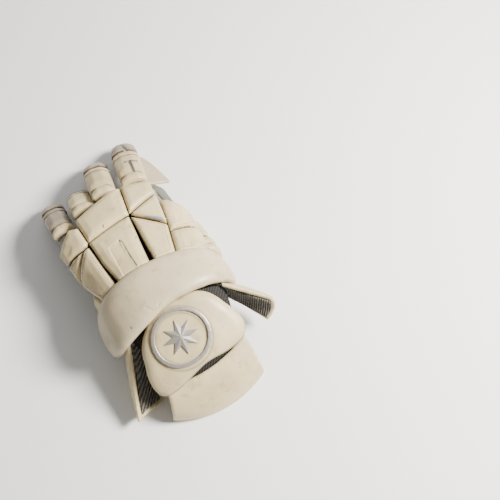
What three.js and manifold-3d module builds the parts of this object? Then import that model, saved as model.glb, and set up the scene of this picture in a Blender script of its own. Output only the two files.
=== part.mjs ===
import * as THREE from "three";
import Module from "manifold-3d";

const wasm = await Module();
wasm.setup();

// Left hand glove lying palm down: +X thumb side, +Y fingertips, +Z up, millimetres

// Driving sizes of the hand
const HAND_LENGTH = 146;
const HAND_WIDTH = 122;
const ARCH_HEIGHT = 78;
const WRIST_Y = -14;
const SHELL_WALL = 2.4;
const BACK_PAD = 11;
const PAD_EDGE_SHARE = 0.55;
const ARCH_POWER = 2.4;
const PALM_POWER = 2.8;
const KNUCKLE_SLANT = 0.38;
const SLANT_START_SHARE = 0.44;
const SLANT_X_SHARE = -0.04;
const PALM_SPLIT_SHARE = 0.58;
const PALM_SPLIT_SLOPE = 0.34;

// Driving sizes of the fingers and the thumb
const FINGER_LENGTH = 94;
const FINGER_WIDTH = 27;
const FINGER_HEIGHT = 22;
const STALL_WALL = 2;
const CROWN_POWER = 3;
const CROWN_EASE = 0.4;
const FINGER_PAD = 6.5;
const FINGER_POWER = 2.4;
const REST_FLAT = 0.7;
const SOCKET_LENGTH = 24;
const ROOT_DROP = 2;
const WING_REACH = 27;
const WING_THICK = 3;

// Driving sizes of the wrist and the cuff
const STRAP_WIDTH = 50;
const STRAP_THICK = 16;
const PLATE_THICK = 8;
const RING_RADIUS = 26.3;
const RING_WIDTH = 3.4;
const RING_DEPTH = 1.4;
const STAR_RADIUS = 17;
const STAR_HEIGHT = 2.6;
const CUFF_WIDTH = 113;
const CUFF_REACH = 106;
const GUARD_HEIGHT = 48;
const GUARD_THICK = 6;
const LINER_THICK = 1.8;
const FLAP_THICK = 7;
const FLAP_BOW = 7;
const LINING_THICK = 2;
const LINING_INSET_SHARE = 0.06;

// Clearances between pieces
const SEAT = 0.4;
const SEAM = 0.9;
const SPLIT_GAP = 0.3;
const STRAP_SEAT = 0.9;
const WING_SEAT = 1.15;
const LINING_GAP = 0.7;

// Mesh fineness
const LOOP_POINTS = 22;
const HOLLOW_POINTS = 14;
const STALL_POINTS = 12;
const STALL_HOLLOW_POINTS = 10;
const STALL_STEPS = 3;
const THUMB_STEPS = 6;
const ARC_SAMPLES = 240;
const FACET_STEP = 11;
const PAD_SINK = 4;
const SMALLEST_EDGE = 0.03;
const PATH_STEPS = 48;
const SLOPE_STEP = 0.4;
const SLOPE_SHARE_STEP = 0.01;
const STRIP_ACROSS = [0, 0.14, 0.36, 0.64, 0.86, 1];
const STRIP_ALONG = [0, 0.16, 0.5, 0.84, 1];
const TIP_SHARES = [0.35, 0.65, 0.87, 0.97];
const FULL_TURN = 360;
const FAR = 400;
const BEND_RANGE = [0.2, 2.4];
const BEND_HALVINGS = 24;

// Sections of the hand from the wrist opening to the finger roots
const HAND_SECTIONS = [
  { along: 0, centre: 0.033, half: 0.492, top: 1, mid: 0.47, low: 0.13 },
  { along: 0.233, centre: 0, half: 0.475, top: 0.98, mid: 0.5, low: 0.24 },
  { along: 0.438, centre: -0.025, half: 0.492, top: 0.955, mid: 0.53, low: 0.33 },
  { along: 0.712, centre: -0.055, half: 0.52, top: 0.91, mid: 0.57, low: 0.38 },
  { along: 1, centre: -0.12, half: 0.53, top: 0.84, mid: 0.57, low: 0.43 },
];

// Fingers and thumb: root across the hand, shares of length and section, bend keys in degrees
const DIGITS = [
  {
    name: "index", x: 0.19, length: 1, width: 1, height: 1,
    pitch: [10, 24, 36], yaw: [4, 5, 6],
  },
  {
    name: "middle", x: -0.1, length: 0.94, width: 0.93, height: 1,
    pitch: [10, 27, 40], yaw: [0, 3, 6],
  },
  {
    name: "ring", x: -0.315, length: 0.78, width: 0.86, height: 0.95,
    pitch: [12, 30, 44], yaw: [-3, -2, 0],
  },
  {
    name: "pinky", x: -0.545, length: 0.83, width: 0.8, height: 0.88,
    pitch: [12, 28, 40], yaw: [-9, -6, -3],
  },
];
const THUMB = {
  name: "thumb", x: 0.45, y: 0.22, z: 0.47, length: 1.14, width: 1, height: 0.95,
  pitch: [62, 0, 0], yaw: [20, -10, -34], start: 0.17,
};

// Pads along every finger: shares of its length, angles across its back in degrees, and how far
// the middle of the rear and of the front edge bows forwards, as shares of the length
const FINGER_PADS = [
  { name: "base_roll", from: -0.02, to: 0.035, rearBow: 0.014, frontBow: 0.075, left: -50, right: 56 },
  { name: "mid_pad", from: 0.062, to: 0.6, rearBow: 0.08, frontBow: 0.012, left: -52, right: 63 },
  { name: "hem_roll", from: 0.61, to: 0.68, rearBow: 0.012, frontBow: 0.012, left: -56, right: 66 },
  { name: "tip_cap", from: 0.69, to: 0.955, rearBow: 0.012, frontBow: 0, left: -54, right: 66 },
];
const THUMB_PADS = [
  { name: "base_roll", from: 0.2, to: 0.31, rearBow: 0, frontBow: 0, left: 15, right: 112 },
  { name: "base_pad", from: 0.325, to: 0.45, rearBow: 0, frontBow: 0, left: 12, right: 114 },
  { name: "mid_pad", from: 0.465, to: 0.69, rearBow: 0, frontBow: 0, left: 10, right: 116 },
  { name: "tip_cap", from: 0.705, to: 0.95, rearBow: 0, frontBow: 0, left: 10, right: 116 },
];
// Thickness of each pad as a share of the full one, and its seat on the stall
const PAD_THICK = { base_roll: 1.2, base_pad: 1.1, mid_pad: 1, hem_roll: 1.08, tip_cap: 0.9 };
const PAD_SEAT = { base_roll: 0.4, base_pad: 1, mid_pad: 0.6, hem_roll: 0.4, tip_cap: 0.7 };
const THUMB_PAD_SEAT = 1;
const NEAR_HAND_SHARE = 0.05;

// Pads of the hand: what is cut from them, corners as shares across the arch and along the hand
const HAND_PADS = [
  {
    name: "knuckle_band", trim: ["sockets", "body"], thick: 1,
    corners: [[-0.495, 0.975], [0.262, 0.97], [0.128, 0.712], [-0.517, 0.683]],
  },
  {
    name: "middle_back_panel", trim: ["body", "strap"], thick: 1,
    corners: [[-0.522, 0.68], [0.118, 0.706], [0.025, 0.2], [-0.385, 0.19], [-0.487, 0.438]],
  },
  {
    name: "index_knuckle_facet", trim: ["sockets", "body"], thick: 1,
    corners: [[0.264, 0.97], [0.684, 0.95], [0.612, 0.816], [0.132, 0.715]],
  },
  {
    name: "index_side_facet", trim: ["body"], thick: 0.95,
    corners: [[0.134, 0.708], [0.608, 0.812], [0.503, 0.538]],
  },
  {
    name: "index_back_panel", trim: ["body", "strap"], thick: 1,
    corners: [[0.124, 0.697], [0.497, 0.531], [0.32, 0.17], [0.09, 0.19]],
  },
  {
    name: "web_triangle", trim: ["sockets", "body"], thick: 0.8,
    corners: [[0.662, 0.757], [0.59, 0.737], [0.482, 0.476], [1.086, 0.512], [1.063, 0.602]],
  },
  {
    name: "web_roll", trim: ["sockets", "body", "strap"], thick: 0.9,
    corners: [[0.478, 0.472], [1.087, 0.506], [1.09, 0.33], [0.337, 0.19]],
  },
  {
    name: "pinky_knuckle_facet", trim: ["sockets", "body"], thick: 0.95,
    corners: [
      [-0.616, 0.965], [-0.505, 0.905], [-0.519, 0.69], [-0.545, 0.66], [-0.6, 0.657],
      [-0.92, 0.69], [-0.92, 0.87],
    ],
  },
  {
    name: "pinky_side_facet", trim: ["body"], thick: 0.9,
    corners: [[-0.608, 0.647], [-0.93, 0.68], [-0.9, 0.435]],
  },
  {
    name: "pinky_back_panel", trim: ["body", "strap"], thick: 1,
    corners: [[-0.6, 0.652], [-0.538, 0.648], [-0.43, 0.16], [-0.667, 0.179], [-0.88, 0.425]],
  },
  {
    name: "pinky_wrist_piece", trim: ["body", "strap"], thick: 0.7,
    corners: [[-0.8, 0.33], [-0.69, 0.19], [-0.72, 0.13], [-1.0, 0.15], [-1.02, 0.33]],
  },
];
// Sunk outline on the middle panel
const RECESS_CORNERS = [[-0.305, 0.507], [-0.155, 0.53], [-0.128, 0.22], [-0.3, 0.22]];
const RECESS_DEPTH = 1.4;

// Wrist strap: edges as shares of its width from the wrist line, fatness as a share
const STRAP_ROWS = [
  { across: -1.16, front: -0.14, rear: -0.5, fat: 0.4 },
  { across: -1.1, front: -0.04, rear: -0.62, fat: 0.72 },
  { across: -0.95, front: 0.12, rear: -0.74, fat: 0.94 },
  { across: -0.7, front: 0.33, rear: -0.78, fat: 1 },
  { across: -0.35, front: 0.5, rear: -0.64, fat: 1 },
  { across: 0, front: 0.57, rear: -0.46, fat: 1 },
  { across: 0.35, front: 0.57, rear: -0.39, fat: 1 },
  { across: 0.7, front: 0.5, rear: -0.36, fat: 1 },
  { across: 0.95, front: 0.3, rear: -0.35, fat: 0.94 },
  { across: 1.1, front: 0.12, rear: -0.33, fat: 0.72 },
  { across: 1.16, front: 0.02, rear: -0.28, fat: 0.4 },
];
const STRAP_ALONG = 0.1;
const STRAP_POINTS = 12;
const STRAP_STATIONS = 21;
const STRAP_POWER = 2.5;

// Emblem plate: height of its ridge along the cuff, outline as shares of width and reach
const PLATE_CENTRE_X = 0.12;
const PLATE_BEND = 0.45;
const PLATE_RIDGE = [
  { y: -1, z: 0.53 },
  { y: -0.8, z: 0.69 },
  { y: -0.5, z: 0.9 },
  { y: -0.2, z: 1.04 },
  { y: 0, z: 1.08 },
];
const PLATE_OUTLINE = [
  [-0.049, -0.191], [0.126, -0.181], [0.269, -0.177], [0.38, -0.243], [0.458, -0.36],
  [0.528, -0.478], [0.554, -0.589], [0.489, -0.693], [0.323, -0.749], [0.2, -0.76],
  [0.083, -0.777], [-0.112, -0.842], [-0.276, -0.872], [-0.365, -0.819], [-0.394, -0.678],
  [-0.369, -0.548], [-0.343, -0.423], [-0.23, -0.27],
];
// Rise of a pad and of the plate: share of the outline kept, share of the full thickness there
const PAD_RISE = [
  { share: 1, rise: PAD_EDGE_SHARE },
  { share: 0.88, rise: 0.88 },
  { share: 0.6, rise: 1 },
  { share: 0, rise: 1 },
];
const PLATE_RISE = [
  { share: 1, rise: 0.45 },
  { share: 0.94, rise: 0.86 },
  { share: 0.82, rise: 1 },
  { share: 0.42, rise: 1 },
  { share: 0, rise: 1 },
];
const RING_CENTRE = [0.004, -0.482];
const RING_STRETCH = 0.92;
const STAR_POINTS = 8;
const STAR_INNER_SHARE = 0.46;
const STAR_EDGE_SHARE = 0.3;
const RING_SEGMENTS = 26;

// Guard and flaps: corners as shares of the cuff's width, reach and guard height
const GUARD_FOOT = { middle: 0.11, half: 0.46, y: -0.967, tilt: 0.014, bow: 0.14, z: -0.01 };
const GUARD_RIM = { middle: 0.115, half: 0.41, y: -0.715, tilt: 0.07, bow: 0.085, z: 0.86 };
const GUARD_BULGE = 0.08;
const GUARD_EDGE_SHARE = 0.6;
const FLAP_EDGE_SHARE = 0.5;
const LINER_LEFT_SPAN = 0.72;
const LINER_RIGHT_SPAN = 0.96;
const LINER_GUARD_SHARE = 0.9;
const LINER_LAP = 0.12;
const LINER_RISE = 0;
const WING_FROM = 0.62;
const WING_TO = -0.01;
const WING_ANGLE = 84;
const WING_DROP = 0.45;
const WING_TIP_SHARE = 0.2;
const FLAPS = [
  {
    name: "left", side: -1, liningFrom: 0.06, liningTop: 0.17,
    rootTop: [-0.4, -0.24, 1.3], rootLow: [-0.36, -0.27, 0.16],
    tipTop: [-0.62, -0.94, 0.38], tipLow: [-0.37, -0.82, 0.1],
  },
  {
    name: "right", side: 1, liningFrom: 0, liningTop: 0.17,
    rootTop: [0.51, -0.17, 1.3], rootLow: [0.6, -0.2, 0.4],
    tipTop: [0.89, -0.45, 0.96], tipLow: [0.81, -0.57, 0.46],
  },
];

function clamp01(value) {
  return Math.min(1, Math.max(0, value));
}

function smooth(from, to, value) {
  const t = clamp01((value - from) / (to - from));
  return t * t * (3 - 2 * t);
}

// Value of one column at a place along a table, through a smooth curve
function column(rows, key, name, at) {
  let k = 0;
  while (k < rows.length - 2 && at > rows[k + 1][key]) {
    k += 1;
  }
  const a = rows[k];
  const b = rows[k + 1];
  const before = rows[Math.max(0, k - 1)];
  const after = rows[Math.min(rows.length - 1, k + 2)];
  const span = b[key] - a[key];
  const t = (at - a[key]) / span;
  if (t < 0 || t > 1) {
    return a[name] + (b[name] - a[name]) * t;
  }
  const slopeA = ((b[name] - before[name]) / (b[key] - before[key])) * span;
  const slopeB = ((after[name] - a[name]) / (after[key] - a[key])) * span;
  const t2 = t * t;
  const t3 = t2 * t;
  return (2 * t3 - 3 * t2 + 1) * a[name] + (t3 - 2 * t2 + t) * slopeA
    + (3 * t2 - 2 * t3) * b[name] + (t3 - t2) * slopeB;
}

// A point on a superellipse: angle 0 at the top, positive to the thumb side
function ovalPoint(angle, half, up, down, powerUp, powerDown) {
  const s = Math.sin(angle);
  const c = Math.cos(angle);
  const power = c >= 0 ? powerUp : powerDown;
  const x = Math.sign(s) * Math.abs(s) ** (2 / power) * half;
  const z = Math.sign(c) * Math.abs(c) ** (2 / power) * (c >= 0 ? up : down);
  return [x, z];
}

function handSection(y) {
  const along = (y - WRIST_Y) / HAND_LENGTH;
  const read = (name) => column(HAND_SECTIONS, "along", name, along);
  return {
    centre: read("centre") * HAND_WIDTH,
    half: read("half") * HAND_WIDTH,
    top: read("top") * ARCH_HEIGHT,
    mid: read("mid") * ARCH_HEIGHT,
    low: read("low") * ARCH_HEIGHT,
  };
}

function slantShift(x, y) {
  const start = WRIST_Y + HAND_LENGTH * SLANT_START_SHARE;
  const share = smooth(start, WRIST_Y + HAND_LENGTH, y);
  return KNUCKLE_SLANT * share * Math.max(0, HAND_WIDTH * SLANT_X_SHARE - x);
}

function handLoopPoint(angle, y, inset) {
  const s = handSection(y);
  const [x, z] = ovalPoint(
    angle, s.half - inset, s.top - s.mid - inset, s.mid - s.low - inset, ARCH_POWER, PALM_POWER,
  );
  const px = s.centre + x;
  return new THREE.Vector3(px, y - slantShift(px, y), s.mid + z);
}

// Arc lengths round one section, kept so that pads can be laid out in millimetres
const arcTables = new Map();
function arcTable(y) {
  const key = y.toFixed(2);
  if (arcTables.has(key)) {
    return arcTables.get(key);
  }
  const s = handSection(y);
  const rows = [];
  let length = 0;
  let last = null;
  for (let i = 0; i <= ARC_SAMPLES; i += 1) {
    const angle = (i / ARC_SAMPLES) * Math.PI;
    const [x, z] = ovalPoint(angle, s.half, s.top - s.mid, s.mid - s.low, ARCH_POWER, PALM_POWER);
    if (last) {
      length += Math.hypot(x - last[0], z - last[1]);
    }
    rows.push([length, x, s.mid + z]);
    last = [x, z];
  }
  const table = { rows, centre: s.centre, reach: rows[ARC_SAMPLES / 2][0] };
  arcTables.set(key, table);
  return table;
}

function handBase(u, y) {
  const { rows, centre } = arcTable(y);
  const want = Math.abs(u);
  let low = 0;
  let high = rows.length - 1;
  while (high - low > 1) {
    const middle = (low + high) >> 1;
    if (rows[middle][0] > want) {
      high = middle;
    } else {
      low = middle;
    }
  }
  const t = (want - rows[low][0]) / (rows[high][0] - rows[low][0]);
  const x = centre + Math.sign(u) * (rows[low][1] + (rows[high][1] - rows[low][1]) * t);
  const z = rows[low][2] + (rows[high][2] - rows[low][2]) * t;
  return new THREE.Vector3(x, y - slantShift(x, y), z);
}

// Moves a point of a surface along the surface's own normal
function lifted(base, u, v, lift, step) {
  const du = base(u + step, v).sub(base(u - step, v));
  const dv = base(u, v + step).sub(base(u, v - step));
  return base(u, v).addScaledVector(du.cross(dv).normalize(), lift);
}

function handSurface(u, y, lift) {
  return lifted(handBase, u, y, lift, SLOPE_STEP);
}

function handFromShares(across, along) {
  const y = WRIST_Y + HAND_LENGTH * along;
  return [across * arcTable(y).reach, y];
}

function handToShares(u, y) {
  return [u / arcTable(y).reach, (y - WRIST_Y) / HAND_LENGTH];
}

// Closed solids
function signedVolume(points, faces) {
  let volume = 0;
  for (const [a, b, c] of faces) {
    volume += points[a].dot(points[b].clone().cross(points[c]));
  }
  return volume / 6;
}

function closed(points, faces) {
  const outward = signedVolume(points, faces) >= 0;
  const vertProperties = new Float32Array(points.length * 3);
  points.forEach((p, i) => vertProperties.set([p.x, p.y, p.z], i * 3));
  const ordered = outward ? faces : faces.map(([a, b, c]) => [a, c, b]);
  const triVerts = new Uint32Array(ordered.flat());
  return new wasm.Manifold(new wasm.Mesh({ numProp: 3, vertProperties, triVerts }));
}

function middleOf(ring) {
  const sum = new THREE.Vector3();
  ring.forEach((p) => sum.add(p));
  return sum.divideScalar(ring.length);
}

// Skins a row of equal rings and closes both ends with a fan
function loft(rings) {
  const count = rings[0].length;
  const points = rings.flat();
  const faces = [];
  for (let k = 0; k + 1 < rings.length; k += 1) {
    for (let i = 0; i < count; i += 1) {
      const a = k * count + i;
      const b = k * count + ((i + 1) % count);
      faces.push([a, b, b + count], [a, b + count, a + count]);
    }
  }
  const first = points.push(middleOf(rings[0])) - 1;
  const last = points.push(middleOf(rings[rings.length - 1])) - 1;
  const start = (rings.length - 1) * count;
  for (let i = 0; i < count; i += 1) {
    const j = (i + 1) % count;
    faces.push([first, j, i], [last, start + i, start + j]);
  }
  return closed(points, faces);
}

// A slab over a rectangle of a surface, between a lower and an upper lift
function slab(surface, us, vs, low, high) {
  const columns = us.length;
  const points = [];
  const at = (layer, i, j) => (layer * vs.length + j) * columns + i;
  for (const lift of [low, high]) {
    vs.forEach((v, j) => us.forEach((u, i) => {
      points.push(surface(u, v, lift(i / (columns - 1), j / (vs.length - 1))));
    }));
  }
  const faces = [];
  for (let j = 0; j + 1 < vs.length; j += 1) {
    for (let i = 0; i + 1 < columns; i += 1) {
      const q = [[i, j], [i + 1, j], [i + 1, j + 1], [i, j + 1]];
      const [a, b, c, d] = q.map(([x, y]) => at(1, x, y));
      const [e, f, g, h] = q.map(([x, y]) => at(0, x, y));
      faces.push([a, b, c], [a, c, d], [e, g, f], [e, h, g]);
    }
  }
  const edge = [];
  for (let i = 0; i + 1 < columns; i += 1) {
    edge.push([i, 0]);
  }
  for (let j = 0; j + 1 < vs.length; j += 1) {
    edge.push([columns - 1, j]);
  }
  for (let i = columns - 1; i > 0; i -= 1) {
    edge.push([i, vs.length - 1]);
  }
  for (let j = vs.length - 1; j > 0; j -= 1) {
    edge.push([0, j]);
  }
  edge.forEach(([i, j], k) => {
    const [p, q] = edge[(k + 1) % edge.length];
    faces.push([at(0, i, j), at(0, p, q), at(1, p, q)], [at(0, i, j), at(1, p, q), at(1, i, j)]);
  });
  return closed(points, faces);
}

// Moves each side of a convex outline inwards by the same amount
function insetOutline(outline, amount) {
  const count = outline.length;
  let area = 0;
  outline.forEach(([x, y], i) => {
    const [p, q] = outline[(i + 1) % count];
    area += x * q - p * y;
  });
  const turn = Math.sign(area);
  const lines = outline.map(([x, y], i) => {
    const [p, q] = outline[(i + 1) % count];
    const length = Math.hypot(p - x, q - y);
    const n = [(-(q - y) / length) * turn, ((p - x) / length) * turn];
    return { n, c: n[0] * x + n[1] * y + amount };
  });
  return lines.map((line, i) => {
    const before = lines[(i + count - 1) % count];
    const det = before.n[0] * line.n[1] - before.n[1] * line.n[0];
    return [
      (before.c * line.n[1] - before.n[1] * line.c) / det,
      (before.n[0] * line.c - before.c * line.n[0]) / det,
    ];
  });
}

function dividedOutline(outline, step) {
  const points = [];
  outline.forEach(([x, y], i) => {
    const [p, q] = outline[(i + 1) % outline.length];
    const parts = Math.max(1, Math.round(Math.hypot(p - x, q - y) / step));
    for (let k = 0; k < parts; k += 1) {
      points.push([x + ((p - x) * k) / parts, y + ((q - y) * k) / parts]);
    }
  });
  return points;
}

// A pad over a convex outline on a surface, low at its edge and full in its middle
function dome(surface, outline, top, bottom) {
  const count = outline.length;
  const centre = [0, 1].map((k) => outline.reduce((sum, p) => sum + p[k], 0) / count);
  const points = [];
  const ringStarts = { top: [], bottom: [] };
  for (const [side, rows] of [["bottom", bottom], ["top", top]]) {
    for (const { share, lift } of rows) {
      ringStarts[side].push(points.length);
      const around = share > 0 ? outline : [centre];
      around.forEach((p) => points.push(surface(
        centre[0] + (p[0] - centre[0]) * share, centre[1] + (p[1] - centre[1]) * share, lift,
      )));
    }
  }
  const faces = [];
  const skin = (starts, up) => {
    for (let k = 0; k + 1 < starts.length; k += 1) {
      const lastRing = k + 2 === starts.length;
      for (let i = 0; i < count; i += 1) {
        const j = (i + 1) % count;
        const [a, b] = up ? [i, j] : [j, i];
        if (lastRing) {
          faces.push([starts[k] + a, starts[k] + b, starts[k + 1]]);
        } else {
          faces.push([starts[k] + a, starts[k] + b, starts[k + 1] + b]);
          faces.push([starts[k] + a, starts[k + 1] + b, starts[k + 1] + a]);
        }
      }
    }
  };
  skin(ringStarts.top, true);
  skin(ringStarts.bottom, false);
  for (let i = 0; i < count; i += 1) {
    const j = (i + 1) % count;
    const t = ringStarts.top[0];
    const b = ringStarts.bottom[0];
    faces.push([b + i, b + j, t + j], [b + i, t + j, t + i]);
  }
  return closed(points, faces);
}

function evenly(from, to, parts) {
  return Array.from({ length: parts + 1 }, (_, i) => from + ((to - from) * i) / parts);
}

// A large block whose upper and lower faces can lean across the glove
function block(minX, maxX, minY, maxY, minZ, maxZ, lean = 0) {
  const corner = (x, y, z) => new THREE.Vector3(x, y, z + lean * Math.sign(x));
  return loft([minZ, maxZ].map((z) => [
    corner(minX, minY, z), corner(maxX, minY, z), corner(maxX, maxY, z), corner(minX, maxY, z),
  ]));
}

const floorBlock = () => block(-FAR, FAR, -FAR, FAR, -FAR, 0);

// Fingers and thumb: a bent path with its own frame at each place
function keyed(keys, t) {
  return t < 0.5 ? keys[0] + (keys[1] - keys[0]) * t * 2 : keys[1] + (keys[2] - keys[1]) * (t * 2 - 1);
}

function digitPath(digit, root, bend) {
  const length = digit.length * FINGER_LENGTH;
  const step = length / PATH_STEPS;
  const frames = [];
  const place = root.clone();
  for (let k = 0; k <= PATH_STEPS; k += 1) {
    const t = k / PATH_STEPS;
    const pitch = THREE.MathUtils.degToRad(keyed(digit.pitch, t) * bend);
    const yaw = THREE.MathUtils.degToRad(keyed(digit.yaw, t));
    const ahead = new THREE.Vector3(
      Math.sin(yaw) * Math.cos(pitch), Math.cos(yaw) * Math.cos(pitch), -Math.sin(pitch),
    );
    const right = new THREE.Vector3(Math.cos(yaw), -Math.sin(yaw), 0);
    frames.push({ place: place.clone(), ahead, right, up: right.clone().cross(ahead) });
    place.addScaledVector(ahead, step);
  }
  return frames;
}

function frontOfHand(x) {
  return WRIST_Y + HAND_LENGTH - slantShift(x, WRIST_Y + HAND_LENGTH);
}

function archHeightAt(x, y) {
  const s = handSection(y);
  const share = Math.min(1, Math.abs(x - s.centre) / s.half);
  return s.mid + (s.top - s.mid) * (1 - share ** ARCH_POWER) ** (1 / ARCH_POWER);
}

// The lowest point of a bare stall is set just under the floor, where it is flattened
function restHeight(laid) {
  return digitTube(laid, 0, 0).boundingBox().min[2];
}

function layFinger(digit) {
  const x = digit.x * HAND_WIDTH;
  const half = (digit.height * FINGER_HEIGHT) / 2;
  const y = frontOfHand(x);
  const z = archHeightAt(x, WRIST_Y + HAND_LENGTH) - half - ROOT_DROP;
  const root = new THREE.Vector3(x, y, z);
  const bent = (bend) => ({ digit, root, frames: digitPath(digit, root, bend) });
  let [low, high] = BEND_RANGE;
  for (let k = 0; k < BEND_HALVINGS; k += 1) {
    const bend = (low + high) / 2;
    if (restHeight(bent(bend)) > -REST_FLAT) {
      low = bend;
    } else {
      high = bend;
    }
  }
  return bent(low);
}

function layThumb(digit) {
  const root = new THREE.Vector3(
    digit.x * HAND_WIDTH, WRIST_Y + digit.y * HAND_LENGTH, digit.z * ARCH_HEIGHT,
  );
  root.z -= restHeight({ digit, root, frames: digitPath(digit, root, 1) }) + REST_FLAT;
  return { digit, root, frames: digitPath(digit, root, 1) };
}

// A point of a digit's skin: s along its path, angle in degrees across its back
function digitBase(laid, inset, round) {
  const { digit, frames } = laid;
  const length = digit.length * FINGER_LENGTH;
  const half = (digit.width * FINGER_WIDTH) / 2;
  const tall = (digit.height * FINGER_HEIGHT) / 2;
  return (angle, s) => {
    const at = Math.min(PATH_STEPS - 0.001, Math.max(0, (s / length) * PATH_STEPS));
    const k = Math.floor(at);
    const t = at - k;
    const mix = (key) => frames[k][key].clone().lerp(frames[k + 1][key], t);
    const place = mix("place").addScaledVector(frames[0].ahead, Math.min(0, s));
    const left = length - inset - s;
    const roundness = left < round ? Math.sqrt(Math.max(0, 1 - (1 - left / round) ** 2)) : 1;
    const turn = THREE.MathUtils.degToRad(angle);
    const up = tall - inset;
    const [x, z] = ovalPoint(turn, half - inset, up, up, FINGER_POWER, FINGER_POWER);
    return place.addScaledVector(mix("right"), x * roundness).addScaledVector(mix("up"), z * roundness);
  };
}

function digitSurface(laid) {
  const base = digitBase(laid, 0, (laid.digit.height * FINGER_HEIGHT) / 2);
  return (angle, s, lift) => lifted(base, angle, s, lift, SLOPE_STEP);
}

function stallRing(base, s, inset) {
  const count = inset > 0 ? STALL_HOLLOW_POINTS : STALL_POINTS;
  return Array.from({ length: count }, (_, i) => base(((i + 0.5) * FULL_TURN) / count, s));
}

function digitTube(laid, inset, from) {
  const length = laid.digit.length * FINGER_LENGTH;
  const round = (laid.digit.height * FINGER_HEIGHT) / 2 - inset;
  const base = digitBase(laid, inset, round);
  const end = length - inset;
  const straight = evenly(Math.max(from, 0), end - round, from > 0 ? THUMB_STEPS : STALL_STEPS);
  const tip = TIP_SHARES.map((share) => end - round + round * share);
  const stations = (from < 0 ? [from] : []).concat(straight, tip);
  return loft(stations.map((s) => stallRing(base, s, inset)));
}

function socket(laid, inset, from, to) {
  const base = digitBase(laid, inset, 1);
  return loft([from, to].map((s) => stallRing(base, s, inset)));
}

// Stepped thickness of a finger pad: low at every edge, full over its middle
function crown(seat, thick, edgeShare) {
  return (a, b) => {
    const bump = (t) => (1 - Math.abs(2 * t - 1) ** CROWN_POWER) ** CROWN_EASE;
    return seat + thick * (edgeShare + (1 - edgeShare) * bump(a) * bump(b));
  };
}

function fingerPad(laid, row) {
  const length = laid.digit.length * FINGER_LENGTH;
  const surface = digitSurface(laid);
  const thick = FINGER_PAD * PAD_THICK[row.name];
  const shares = (list, value) => list[Math.round(value * (list.length - 1))];
  const bowed = (angle, s, lift) => {
    const middle = 1 - ((2 * (angle - row.left)) / (row.right - row.left) - 1) ** 2;
    const forwards = (s / length - row.from) / (row.to - row.from);
    const bow = row.rearBow + (row.frontBow - row.rearBow) * forwards;
    return surface(angle, s + bow * length * middle, lift);
  };
  const seat = laid === thumb ? THUMB_PAD_SEAT : PAD_SEAT[row.name];
  const high = crown(seat, thick, PAD_EDGE_SHARE);
  return slab(
    bowed,
    STRIP_ACROSS.map((t) => row.left + (row.right - row.left) * t),
    STRIP_ALONG.map((t) => (row.from + (row.to - row.from) * t) * length),
    () => seat,
    (a, b) => high(shares(STRIP_ACROSS, a), shares(STRIP_ALONG, b)),
  );
}

const group = new THREE.Group();
group.name = "lacrosse_glove";

function place(name, solid, look) {
  const mesh = solid.simplify(SMALLEST_EDGE).getMesh();
  const positions = new Float32Array(mesh.numVert * 3);
  for (let i = 0; i < mesh.numVert; i += 1) {
    for (let k = 0; k < 3; k += 1) {
      positions[i * 3 + k] = mesh.vertProperties[i * mesh.numProp + k];
    }
  }
  const geometry = new THREE.BufferGeometry();
  geometry.setAttribute("position", new THREE.BufferAttribute(positions, 3));
  geometry.setIndex(new THREE.BufferAttribute(new Uint32Array(mesh.triVerts), 1));
  const material = new THREE.MeshStandardMaterial(look);
  material.name = name;
  const node = new THREE.Mesh(geometry, material);
  node.name = name;
  group.add(node);
}

// Colour, roughness and metalness of each material
const LEATHER = { color: 0xe9e4df, roughness: 0.6, metalness: 0 };
const BLACK_CLOTH = { color: 0x17181b, roughness: 0.9, metalness: 0 };
const GREY_CLOTH = { color: 0x5c6260, roughness: 0.95, metalness: 0 };
const PALM_LEATHER = { color: 0x8a8f84, roughness: 0.85, metalness: 0 };
const SILVER = { color: 0xb4b7c0, roughness: 0.35, metalness: 0.6 };

const fingers = DIGITS.map(layFinger);
const thumb = layThumb(THUMB);
const laidDigits = [...fingers, thumb];
const floor = floorBlock();

// Hand shell: a hollow hand with a socket for every finger and the thumb
function handLoft(alongs, insets) {
  const count = insets[0] > 0 ? HOLLOW_POINTS : LOOP_POINTS;
  return loft(alongs.map((along, k) => Array.from({ length: count }, (_, i) => (
    handLoopPoint(((i + 0.5) * 2 * Math.PI) / count, WRIST_Y + HAND_LENGTH * along, insets[k])
  ))));
}

const SHELL_ALONGS = [0, 0.18, 0.37, 0.56, 0.75, 0.92];
const NOSE_ALONG = 0.985;
const NOSE_INSET = 5;
const OPEN_ALONG = -0.05;

function handBody(inset, first, last) {
  return handLoft(
    [first, ...SHELL_ALONGS.slice(1), last],
    [...SHELL_ALONGS.map(() => inset), NOSE_INSET + inset],
  );
}

function stallStart(laid) {
  return (laid.digit.start ?? 0) * laid.digit.length * FINGER_LENGTH;
}

function withSockets(body, inset, past) {
  return laidDigits.reduce((sum, laid) => {
    const start = stallStart(laid);
    const from = start > 0 ? 0 : -SOCKET_LENGTH;
    return sum.add(socket(laid, inset, from - past, start - SPLIT_GAP + past));
  }, body);
}

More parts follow.
